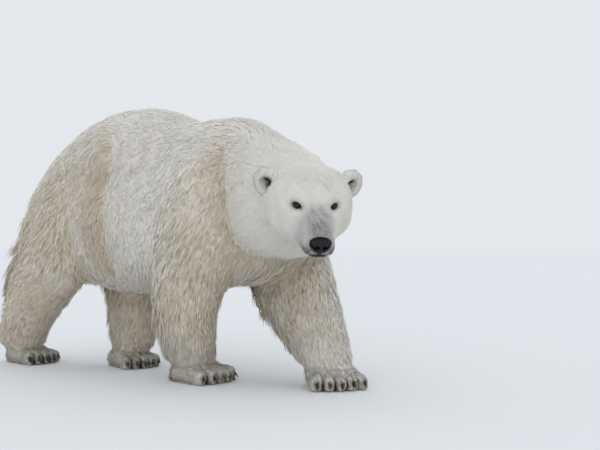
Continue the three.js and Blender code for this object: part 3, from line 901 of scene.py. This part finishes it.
def markings(p, n, warm, hollow, owner):
    # each marking is a product of soft steps and bells at its place, and they add up to at most 1
    q = toHead(p)
    m = folded(q)
    nearHead = np.linalg.norm(q, axis=1) < 0.55
    speck = 0.5 + 0.5 * ripple(p, 0.011, 21)
    blotch = 0.5 + 0.5 * ripple(p, 0.035, 28)
    # the bridge is speckled grey from between the eyes to the nose, with a paler ridge on each side of it;
    # the muzzle's sides are a light grey, the lips and chin darker, with dots where the whiskers grow
    grey = smooth(m[:, 0], 182, 262) * (1 - smooth(m[:, 1], 24, 52)) * smooth(m[:, 2], -70, -20)
    even, specks, nearer = greyOf["bridge"]
    grey *= even + specks * speck * (0.5 + 0.7 * blotch) + nearer * smooth(m[:, 0], 280, 335)
    beside = smooth(m[:, 1], 28, 46) * (1 - smooth(m[:, 1], 78, 92))
    grey += greyOf["muzzle"] * smooth(m[:, 0], 196, 262) * beside
    pads = smooth(m[:, 0], 262, 345) * smooth(-m[:, 2], 60, 96)
    grey += pads * (greyOf["pads"][0] + greyOf["pads"][1] * speck)
    gap, where = nearestOn(mouthLine, m)
    strength, wide, narrower, less = darkOf["mouth"]
    dark = strength * hump(gap / (wide - narrower * where)) * (1 - less * smooth(where, 0.4, 1))
    dark += darkOf["philtrum"] * bell(m, (360, 0, -97), (16, 3, 8))
    dark += darkOf["whiskers"] * pads * smooth(ripple(p, 0.009, 27), 0.3, 0.8)
    dark += darkOf["noseRim"] * hump(radiiOut(m, (352, 0, -61), (24, 46, 34)))
    for side, sign in sides.items():
        eye = inEye(side, p) * 1000
        apart = np.linalg.norm(eye / (23.5, 14.5, 30), axis=1)
        dark += hump(apart, 6) + darkOf["tears"] * bell(eye, (25, -4, 0), (11, 6, 15))
        grey += greyOf["lids"] * hump(apart / 1.5, 4)
        grey += greyOf["tears"] * bell(eye, (36, -2, 0), (18, 14, 20))
        ear = (q - toHead(middle("ear_" + side))) * 1000 * (1, sign, 1)
        # painted shade in the ear's dish, where it faces ahead, and painted shadow along a wedge inside the
        # ear
        facing = smooth(n @ headAhead, -0.1, 0.5)
        grey += greyOf["ears"] * hump(radiiOut(ear, (-4, 2, -6), (18, 22, 30))) * facing
        gap, where = nearestOn(earShape["shadow"], ear)
        gap = gap / (16 - 9 * np.abs(2 * where - 1))
        dark += darkOf["ears"] * hump(gap) * smooth(n @ headAhead, -0.6, 0.1)
    crown = smooth(m[:, 0], -30, 110) * smooth(m[:, 2], 40, 80) * (1 - smooth(m[:, 1], 40, 110))
    grey += greyOf["crown"][0] * crown * speck
    grey += greyOf["crown"][1] * speck * blotch * smooth(m[:, 0], 0, 80)
    # painted shade on what faces up
    grey += greyOf["top"] * smooth(n[:, 2], 0.2, 0.8)
    grey, dark = grey * nearHead, dark * nearHead
    low = named(owner, "leg") | named(owner, "paw")
    foot = low * (1 - smooth(p[:, 2], 0.06, 0.15))
    grey += greyOf["feet"] * foot * (0.5 + 0.5 * ripple(p, 0.03, 22))
    # black soles, and dark between the toes: partly bare skin, partly painted shade
    dark += low * (smooth(-n[:, 2], 0.5, 0.9) * (p[:, 2] < 0.02) + darkOf["toeGaps"] * toeMarks(p)[1])
    edge = 1 - smooth(p[:, 2], 0.006, 0.022)
    dark += darkOf["footEdge"] * foot * edge * smooth(ripple(p, 0.05, 24), -0.2, 0.3)
    for base, way in [spot for spots in toes.values() for spot in spots]:  # bare round each claw
        near = np.nonzero(np.linalg.norm(p - base, axis=1) < 0.05)[0]
        bare = bell(inToe(p[near], base, way), (0.004, 0, -0.002), (0.014, 0.0115, 0.015))
        dark[near] += darkOf["claws"] * bare
    dark += darkOf["gaps"] * foot * smooth(ripple(p, 0.012, 25), 0.45, 0.9)  # gaps in matted hair
    # the leg stretched ahead is painted paler on the side facing (0.59, -0.81, 0), "inFront", as light, and
    # its hair is paler above its paw
    stretched = (owner == "foreleg_left") | (owner == "forepaw_left")
    inFront, atPaw = smooth(n @ (0.59, -0.81, 0), 0.1, 0.8), 1 - smooth(p[:, 2], 0.1, 0.4)
    litSideAndPalerPaw = np.maximum(0.9 * inFront, 0.7 * atPaw)
    warm = warm * (1 - stretched * litSideAndPalerPaw)
    grey += greyOf["soil"] * soilOn(p, owner)
    # painted shade: the trunk greyer below the back's top
    grey += greyOf["trunk"] * (owner == "trunk") * (1 - smooth(p[:, 2], 1.0, 1.15))
    # painted shade in hollows and folds: darker, warmer straw, easing off in the deepest
    foldShade = 1.2 * np.clip(hollow, 0, 1) - 1.1 * np.clip(hollow - 0.8, 0, 0.8)
    warm = warm * (0.9 + 0.25 * ripple(p, 0.3, 23)) + foldShade * smooth(warm, 0.05, 0.3)
    return np.clip(np.stack([warm, grey, dark], 1), 0, 1)


# A tuft is a thin closed spindle: a root under the skin, a ring of three at its thickest (left, right and
# ridge) and a tip. It leaves the skin steeply and then lies along it, following the skin's own bend.

coat = {
    "tufts": 1.0,  # share of the full number
    "quickTufts": 0.12,
    "rootSunk": 0.0015,
    "thickest": 0.42,  # share of the length at which the ring sits
    "half": (0.0006, 0.021),  # half width: so much, and so much of the length
    "stray": 0.14,  # how far single tufts turn from their neighbours, radians
    "loose": 0.09,  # share of tufts that stand further out
    "looseRise": 1.8,
    "swirls": ((0.28, 0.4, 11), (0.16, 0.12, 12)),  # how far the flow turns, over what wave, and its seed
    "lockSize": (2.9, 2.2),  # gaps between tufts across one lock: so many, and more where they gather
    "lockReach": 2.2,
    "gather": (0.7, 0.25),  # how far tips and rings lean towards their lock's middle
    "pieceLimit": 195000,
    "patch": 0.003,
}


def cellKey(place, size):
    # one number for each cell of a grid whose cells are about as wide as size, in steps of 7 %
    step = np.round(np.log(size / 0.002) / math.log(1.07)).astype(np.int64)
    cell = np.floor(place / (0.002 * 1.07**step * 1.22)[:, None]).astype(np.int64)
    return ((step * 4096 + cell[:, 0]) * 4096 + cell[:, 1]) * 4096 + cell[:, 2]


def grown(amount):
    # roots spread over the skin, one in each cell of a grid as wide as the gap there
    a, b, c = skinCo[skinFaces].transpose(1, 0, 2)
    area = np.linalg.norm(np.cross(b - a, c - a), axis=1) / 2
    share = np.cumsum(area / skinValues[skinFaces, 2].mean(1) ** 2)
    count = int(share[-1] * amount * 3.2)
    face = np.searchsorted(share, draw.random(count) * share[-1])
    u, v = draw.random((2, count))
    u, v = np.where(u + v > 1, (1 - u, 1 - v), (u, v))
    weight = np.stack([1 - u - v, u, v], 1)
    place = (skinCo[skinFaces[face]] * weight[:, :, None]).sum(1)
    size = (skinValues[skinFaces[face], 2] * weight).sum(1) / math.sqrt(amount)
    kept = np.unique(cellKey(place, size), return_index=True)[1]
    corner, weight, place = skinFaces[face[kept]], weight[kept], place[kept]

    def mixed(values):
        return (values[corner] * weight.reshape(*weight.shape, *[1] * (values.ndim - 1))).sum(1)

    roots = {
        "root": place,
        "normal": unit(mixed(skinNormal)),
        "flow": unit(mixed(skinFlow)),
        "values": mixed(skinValues),
        "hollow": mixed(hollow),
        "owner": skinOwner[corner[:, 0]],
    }
    m = folded(toHead(place))
    bare = radiiOut(m, (352, 0, -62), (26, 42, 34)) < 1  # under the nose pad
    for side in sides:
        bare |= radiiOut(inEye(side, place) * 1000, (3, 0, 0), (24, 13.5, 30)) < 1
    gap, where = nearestOn(mouthLine, m)
    bare |= gap < 5.5 - 3 * where
    bare |= (roots["normal"][:, 2] < -0.6) & (place[:, 2] < 0.025)  # soles
    return {key: value[~bare] for key, value in roots.items()}


def combed(roots):
    # Along the skin the tip is at root + flow * length, brought back to the skin and lifted by the coat's
    # depth. The ring follows the skin's bend, which between two places with normals n0 and n1 stands off
    # their chord c by (n1 - n0).c / 8.
    root, normal, flow, owner = roots["root"], roots["normal"], roots["flow"], roots["owner"]
    length, depth, gap, lock, warm = roots["values"].T
    count = len(root)
    for side in sides:  # shorter round the eyes
        length = length * (1 - 0.5 * bell(inEye(side, root) * 1000, 0, (36, 27, 40)))
    swirl = sum(turn * ripple(root, wave, seed) for turn, wave, seed in coat["swirls"])
    swirl = swirl * smooth(length, 0.008, 0.04) + draw.normal(0, coat["stray"], count)
    flow = unit(flow * np.cos(swirl)[:, None] + np.cross(normal, flow) * np.sin(swirl)[:, None])
    length = length * (1 + 0.2 * ripple(root, 0.16, 13)) * draw.uniform(0.75, 1.25, count)
    rise = depth * (1 + 0.2 * ripple(root, 0.09, 14)) * draw.uniform(0.75, 1.15, count)
    loose = draw.random(count) < coat["loose"] * smooth(length, 0.02, 0.04)
    rise = rise * np.where(loose, coat["looseRise"], 1.0)
    aim = root + flow * length[:, None]
    base, baseNormal = landed(aim)
    gone = np.linalg.norm(base - aim, axis=1) > 0.6 * length
    base[gone], baseNormal[gone] = aim[gone], normal[gone]
    chord = base - root
    bend = ((baseNormal - normal) * chord).sum(1)[:, None] / 8
    between = unit(normal + baseNormal)
    tip = base + baseNormal * rise[:, None]
    t = coat["thickest"]
    ring = root + t * chord + between * (bend * 4 * t * (1 - t) + 0.68 * rise[:, None])

    # locks: every tuft leans towards the tip of its lock's middle tuft
    size = gap * (coat["lockSize"][0] + coat["lockSize"][1] * lock)
    shaken = root + 0.3 * size[:, None] * draw.normal(size=(count, 3))
    heads = np.unique(cellKey(shaken, size), return_index=True)[1]
    finder = KDTree(len(heads))
    for i, p in enumerate(root[heads].tolist()):
        finder.insert(p, i)
    finder.balance()
    wobble = root + 0.12 * size[:, None] * draw.normal(size=(count, 3))
    mine = heads[[finder.find(p)[1] for p in wobble.tolist()]]
    away = np.linalg.norm(root[mine] - root, axis=1)
    pull = np.clip(lock, 0, 0.85) * (away < coat["lockReach"] * size) * (owner[mine] == owner)
    tip = tip + pull[:, None] * coat["gather"][0] * (tip[mine] - tip)
    ring = ring + pull[:, None] * coat["gather"][1] * (ring[mine] - ring)
    for spot in (ring, tip):
        spot[:, 2] = np.maximum(spot[:, 2], 0.002)
    print("locks:", len(heads))
    warm, grey, dark = markings(root, normal, warm, roots["hollow"], owner).T
    tone = 0.6 * draw.normal(size=count) + 0.8 * draw.normal(size=count)[mine]
    rim = lock * smooth(away / size, 0.4, 0.6)  # painted shade in the partings between locks
    # painted shade in hollows, more where the hair gathers in locks
    sunk = np.clip(roots["hollow"], 0, 1)
    shade = 0.3 * sunk * lock + 0.35 * np.clip(roots["hollow"] - 0.9, 0, 1)
    root = root - normal * coat["rootSunk"]
    root[:, 2] = np.maximum(root[:, 2], 0.0003)
    # how much darker the roots are painted: shade under locks, in hollows and in partings, and soil on the
    # legs
    deep = 0.05 + 0.35 * lock + 0.5 * soilOn(root, owner) + 0.4 * sunk + 0.7 * rim
    deep = deep * (1 - 0.5 * named(owner, "paw"))
    # "tone" is each tuft's and lock's own random tone, plus the painted shade of partings and hollows
    return {"root": root, "ring": ring, "tip": tip, "over": between, "length": length,
            "stand": smooth(depth, 0.019, 0.027), "spread": 0.05 + 0.4 * lock, "thick": 0.4 + 0.5 * lock,
            "warm": warm * (1 + 0.12 * tone), "grey": grey, "dark": dark, "deep": deep,
            "tone": 0.5 + (0.02 + 0.08 * lock) * tone + 0.65 * rim + shade}


def spindles(tufts):
    # vertices in fives (root, left, right, ridge, tip), the faces and the vertex normals
    half = coat["half"][0] + coat["half"][1] * tufts["length"]
    half = half * draw.uniform(0.7, 1.3, len(half))
    along = tufts["tip"] - tufts["root"]
    side = unit(np.cross(tufts["over"], along))
    over = unit(np.cross(along, side))
    left, ring = side * half[:, None], tufts["ring"]
    ridge = ring + over * (half * tufts["thick"])[:, None]
    verts = np.stack([tufts["root"], ring + left, ring - left, ridge, tufts["tip"]], 1)
    # what hangs free is lit by its own shape, the rest as one coat
    stand, spread = tufts["stand"][:, None, None], tufts["spread"][:, None] * side
    calm, along = tufts["over"] + (0.04 + tufts["spread"][:, None]) * over, unit(along)
    coated = np.stack([calm, calm + spread, calm - spread, calm, calm], 1)
    free = np.stack([-along, side - 0.4 * over, -side - 0.4 * over, over, along], 1)
    normals = coated + stand * (1.3 * free - coated)
    faces = np.array([(0, 2, 3), (0, 3, 1), (0, 1, 2), (4, 3, 2), (4, 1, 3), (4, 2, 1)])
    faces = np.arange(len(verts))[:, None, None] * 5 + faces
    return verts.reshape(-1, 3), faces.reshape(-1, 3), unit(normals.reshape(-1, 3))


def chartsOf(place, normal):
    # an unwrap of this stretch of skin: it is seen along the six ways its normals face, and the charts are
    # set out in rows, the tallest first
    chart = np.argmax(np.concatenate([normal, -normal], 1), 1)
    flat = np.take_along_axis(place, np.array([(1, 2), (0, 2), (0, 1)])[chart % 3], 1)
    names, chart = np.unique(chart, return_inverse=True)
    low = np.array([flat[chart == i].min(0) for i in range(len(names))])
    size = np.array([flat[chart == i].max(0) for i in range(len(names))]) - low + 0.01
    width = max(math.sqrt(size.prod(1).sum()) * 1.12, size[:, 0].max())
    corner = np.zeros_like(low)
    x = y = tallest = 0.0
    for i in np.argsort(-size[:, 1]):
        if x + size[i, 0] > width:
            x, y, tallest = 0.0, y + tallest, 0.0
        corner[i] = x, y
        x, tallest = x + size[i, 0], max(tallest, size[i, 1])
    return (flat - low[chart] + corner[chart] + 0.005) / (width, y + tallest)


def splitUp(place, chosen, limit):
    # halves a set of tufts across its longest way until each part is small enough
    if len(chosen) <= limit:
        return [chosen]
    axis = np.argmax(np.ptp(place[chosen], axis=0))
    lower = place[chosen, axis] < np.median(place[chosen, axis])
    return splitUp(place, chosen[lower], limit) + splitUp(place, chosen[~lower], limit)


def coatTitle(part):
    # ears go with the head, feet stay apart from legs
    return "coat" + part.replace("ear_left", "head").replace("ear_right", "head").title().replace("_", "")


roots = grown(coat["tufts"])
print("roots:", len(roots["root"]))
tufts = combed(roots)
print("combed")
titles = {part: coatTitle(part) for part in coatLines}
rootTitles = np.array([titles[part] for part in roots["owner"].tolist()])
coatPieces = []
patch = np.array([(0, -0.5), (-0.5, 0), (0.5, 0), (0.12, 0.1), (0, 0.5)]) * coat["patch"]
for title in dict.fromkeys(titles.values()):
    parts = splitUp(roots["root"], np.nonzero(rootTitles == title)[0], coat["pieceLimit"] // 6)
    for number, chosen in enumerate(parts, 1):
        some = {key: value[chosen] for key, value in tufts.items()}
        verts, faces, normals = spindles(some)
        mesh = meshFrom(title + (str(number) if len(parts) > 1 else ""), verts, faces)
        mesh.shade_smooth()
        shading = mesh.attributes.new("custom_normal", "FLOAT_VECTOR", "POINT")
        shading.data.foreach_set("vector", normals.astype(np.float32).ravel())
        for key in ("warm", "grey", "dark", "deep", "tone"):
            mark(mesh, key, np.repeat(some[key], 5))
        mark(mesh, "along", np.tile([0, 0.45, 0.45, 0.5, 1.0], len(chosen)))
        uv = chartsOf(roots["root"][chosen], roots["normal"][chosen])
        uv = (uv[:, None] * (1 - coat["patch"]) + coat["patch"] / 2 + patch).reshape(-1, 2)
        corner = mesh.uv_layers.new(name="OFBake").uv
        corner.foreach_set("vector", uv[faces.ravel()].astype(np.float32).ravel())
        coatPieces.append(shown(mesh.name, mesh))
        print(mesh.name, len(faces), "triangles")

skinMarks = markings(skinCo, skinNormal, skinValues[:, 4], hollow, skinOwner)
for key, values in zip(("warm", "grey", "dark"), skinMarks.T):
    mark(skinMesh, key, values)

# the claws are the CAD's, rounded
clawShape = {"length": 0.8, "levels": 2}  # the hair hides the rest of their length
clawPieces = []
for paw in [end + "claw_" + side for end in ("fore", "hind") for side in sides]:
    title = paw.replace("claw_", "Claws").replace("left", "Left").replace("right", "Right")
    piece = shown(title, joined(paw, nodeMeshes([n for n in clawNodes if n.startswith(paw)])))
    co = placesOf(piece.data)
    bases = np.array([base for base, way in toes[paw.replace("claw", "paw")]])
    nearest = bases[np.argmin(np.linalg.norm(co[:, None] - bases, axis=2), axis=1)]
    setPoints(piece.data, nearest + (co - nearest) * clawShape["length"])
    piece.data.shade_smooth()
    rounding = piece.modifiers.new("round", "SUBSURF")
    rounding.levels = rounding.render_levels = clawShape["levels"]
    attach(piece, "root")
    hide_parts(*[n for n in clawNodes if n.startswith(paw)])
    clawPieces.append(piece)
print("claws done")


class Wire:
    # a socket's value; arithmetic on it adds Math nodes
    def __init__(self, finish, socket):
        self.finish, self.socket = finish, socket

    def maths(self, operation, *values):
        return self.finish.node("Math", {"operation": operation}, dict(enumerate(values)))

    def __add__(self, other):
        return self.maths("ADD", self, other)

    def __sub__(self, other):
        return self.maths("SUBTRACT", self, other)

    def __rsub__(self, other):
        return self.maths("SUBTRACT", other, self)

    def __mul__(self, other):
        return self.maths("MULTIPLY", self, other)

    __radd__, __rmul__ = __add__, __mul__


class Finish:
    # one material, built node by node
    def __init__(self, name):
        self.material = bpy.data.materials.new(name)
        self.material.use_nodes = True
        self.tree = self.material.node_tree
        self.tree.nodes.clear()

    def node(self, kind, settings=None, values=None, output=0):
        made = self.tree.nodes.new("ShaderNode" + kind)
        for key, value in (settings or {}).items():
            setattr(made, key, value)
        for key, value in (values or {}).items():
            if isinstance(value, Wire):
                self.tree.links.new(value.socket, made.inputs[key])
            else:
                made.inputs[key].default_value = value
        return Wire(self, made.outputs[output]) if made.outputs else made

    def blend(self, share, first, second):
        # first where share is 0, second where it is 1
        ends = {i: v if isinstance(v, Wire) else (*v, 1) for i, v in ((6, first), (7, second))}
        return self.node("Mix", {"data_type": "RGBA"}, {0: share, **ends}, 2)

    def attribute(self, name):
        return self.node("Attribute", {"attribute_name": name}, output=2)

    def place(self):
        return self.node("TexCoord", output=3)

    def noise(self, size, detail=2.0):
        # soft noise, 0 to 1, with spots about that size in metres
        return self.node("TexNoise", {}, {"Vector": self.place(), "Scale": 1 / size, "Detail": detail})

    def pebbles(self, size):
        # soft cells, darkest at their middles
        values = {"Vector": self.place(), "Scale": 1 / size}
        return self.node("TexVoronoi", {"feature": "SMOOTH_F1"}, values)

    def step(self, value, start, end):
        # 0 at start, 1 at end, soft between
        return self.node("MapRange", {"interpolation_type": "SMOOTHSTEP"}, {0: value, 1: start, 2: end})

    def bump(self, height, depth):
        return self.node("Bump", {}, {"Height": height, "Distance": depth, "Strength": 1.0})

    def surface(self, values):
        shader = self.node("BsdfPrincipled", {}, values)
        self.node("OutputMaterial", {}, {"Surface": shader})
        return self.material


furColours = {
    "white": (0.87, 0.848, 0.79),
    "warm": (0.77, 0.68, 0.53),
    # the dark straw that roots, partings and hollows are painted towards as shade, and soiled hair too
    "root": (0.50, 0.42, 0.31),
    "grey": (0.20, 0.205, 0.22),
    "dark": (0.012, 0.012, 0.014),
}


def furFinish(name, coated):
    # white to straw by "warm", then grey, then dark; roots are painted darker than tips, as shade and as
    # soil
    fur = Finish(name)
    warm = fur.attribute("warm") * (0.85 + 0.3 * fur.noise(0.12, 3.0))
    colour = fur.blend(warm, furColours["white"], furColours["warm"])
    if coated:
        deep = fur.attribute("deep") * (1 - fur.attribute("along")) + (fur.attribute("tone") - 0.5)
        colour = fur.blend(fur.node("Clamp", {}, {0: deep}), colour, furColours["root"])
    else:
        colour = fur.blend(0.05 + fur.attribute("warm") * fur.noise(0.004), colour, furColours["root"])
    colour = fur.blend(fur.attribute("grey"), colour, furColours["grey"])
    colour = fur.blend(fur.attribute("dark"), colour, furColours["dark"])
    return fur.surface({"Base Color": colour, "Roughness": 0.75, "Sheen Weight": 0.1})


def eyeFinish():
    # by the angle from the way it looks: pupil, brown iris with rays, dark white
    eye = Finish("eyeGlass")
    turn = eye.attribute("turn")
    iris = eye.blend(eye.noise(0.0012, 3.0), (0.012, 0.0085, 0.007), (0.006, 0.0045, 0.004))
    colour = eye.blend(eye.step(turn, 0.24, 0.30), (0.001, 0.001, 0.001), iris)
    colour = eye.blend(eye.step(turn, 0.62, 0.72), colour, (0.02, 0.012, 0.009))
    return eye.surface({"Base Color": colour, "Roughness": 0.07, "Specular IOR Level": 0.35})


def bareFinish(name, colours, grain, depth, roughness, specular, marked=()):
    # moist or dry bare hide: two tones in spots with fine pebbles, black where it is marked
    hide = Finish(name)
    pebbles = hide.pebbles(grain)
    tone = hide.blend(hide.noise(0.01), *colours)
    for key in marked:
        tone = hide.blend(hide.attribute(key), tone, (0.001, 0.001, 0.001))
    return hide.surface({"Base Color": tone, "Roughness": roughness, "Specular IOR Level": specular,
                         "Normal": hide.bump(pebbles, -depth)})


def clawFinish():
    # dark horn with paler streaks
    horn = Finish("clawHorn")
    streak = horn.noise(0.006, 4.0)
    tone = horn.blend(horn.step(streak, 0.35, 0.75), (0.018, 0.015, 0.013), (0.075, 0.06, 0.045))
    return horn.surface({"Base Color": tone, "Roughness": 0.28, "Normal": horn.bump(streak, 0.0004)})


skinMesh.materials.append(furFinish("undercoat", False))
topcoat = furFinish("topcoat", True)
for piece in coatPieces:
    piece.data.materials.append(topcoat)
    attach(piece, "root")
eyeGlass = eyeFinish()
lidColours = (0.006, 0.005, 0.005), (0.014, 0.012, 0.012)
lidHide = bareFinish("lidHide", lidColours, 0.0012, 0.0003, 0.5, 0.25)
for side in sides:
    for piece, finish in ((eyeBalls[side], eyeGlass), (lids[side], lidHide)):
        piece.data.materials.append(finish)
        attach(piece, "root")
    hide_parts("eye_" + side)
noseColours = (0.010, 0.010, 0.0105), (0.022, 0.022, 0.023)  # the leather's two tones; it is painted black as shade in the nostrils and the groove
leather = bareFinish("noseLeather", noseColours, 0.0022, 0.0006, 0.45, 0.12, ["sunk"])
nosePiece.data.materials.append(leather)
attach(nosePiece, "root")
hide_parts("nose")
horn = clawFinish()
for piece in clawPieces:
    piece.data.materials.append(horn)
print("coat done:", len(coatPieces), "pieces")

# camera, light and floor
shot = {"place": (-3.5444, -3.3479, 0.672), "turn": -54.0, "climb": -0.745, "lens": 60, "sensor": 36}


def backOf(turn, climb):
    # the way from what is seen to the camera: (sin a cos e, -cos a cos e, sin e)
    a, e = math.radians(turn), math.radians(climb)
    return Vector((math.sin(a) * math.cos(e), -math.cos(a) * math.cos(e), math.sin(e)))


def aimed(name, data, back):
    # a camera or lamp that looks the other way from back
    piece = shown(name, data)
    piece.rotation_mode = "QUATERNION"
    piece.rotation_quaternion = (-back).to_track_quat("-Z", "Y")
    return piece


camera = aimed("camera", bpy.data.cameras.new("camera"), backOf(shot["turn"], shot["climb"]))
camera.data.lens = shot["lens"]
camera.data.sensor_width = shot["sensor"]
camera.data.clip_end = 200
camera.location = shot["place"]
bpy.context.scene.camera = camera

studio = {
    "sky": (0.93, 0.96, 1.0),
    "skyStrength": 0.84,
    "suns": {  # strength, spread in degrees, colour, where it shines from
        "overhead": (0.2, 80, (1.0, 0.99, 0.97), (0.2, 0.5, 2.0)),
        "front": (0.7, 60, (1.0, 0.98, 0.95), (-1.9, -1.3, 0.8)),
        "side": (0.25, 80, (1.0, 1.0, 1.0), (1.6, -2.2, 0.7)),
    },
}
world = bpy.data.worlds.new("world")
world.use_nodes = True
backdrop = world.node_tree.nodes["Background"]
backdrop.inputs["Color"].default_value = (*studio["sky"], 1)
backdrop.inputs["Strength"].default_value = studio["skyStrength"]
bpy.context.scene.world = world
bpy.context.scene.view_settings.view_transform = "Standard"
for name, (strength, spread, colour, source) in studio["suns"].items():
    lamp = aimed(name, bpy.data.lights.new(name, "SUN"), Vector(source))
    lamp.data.energy = strength
    lamp.data.angle = math.radians(spread)
    lamp.data.color = colour

ground = {"radius": 60, "corners": 96, "below": 0.0006, "colour": (0.79, 0.81, 0.83, 1)}
angle = np.linspace(0, 2 * math.pi, ground["corners"] + 1)[:-1]
circle = np.stack([np.cos(angle), np.sin(angle)], 1) * ground["radius"]
circle = np.concatenate([circle, np.full((len(circle), 1), -ground["below"])], 1)
floor = shown("floor", meshFrom("floor", circle, np.arange(len(circle))[None]))
floor.data.materials.append(Finish("ground").surface({"Base Color": ground["colour"], "Roughness": 0.9}))

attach(skin, "root")
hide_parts(*fleshNodes)
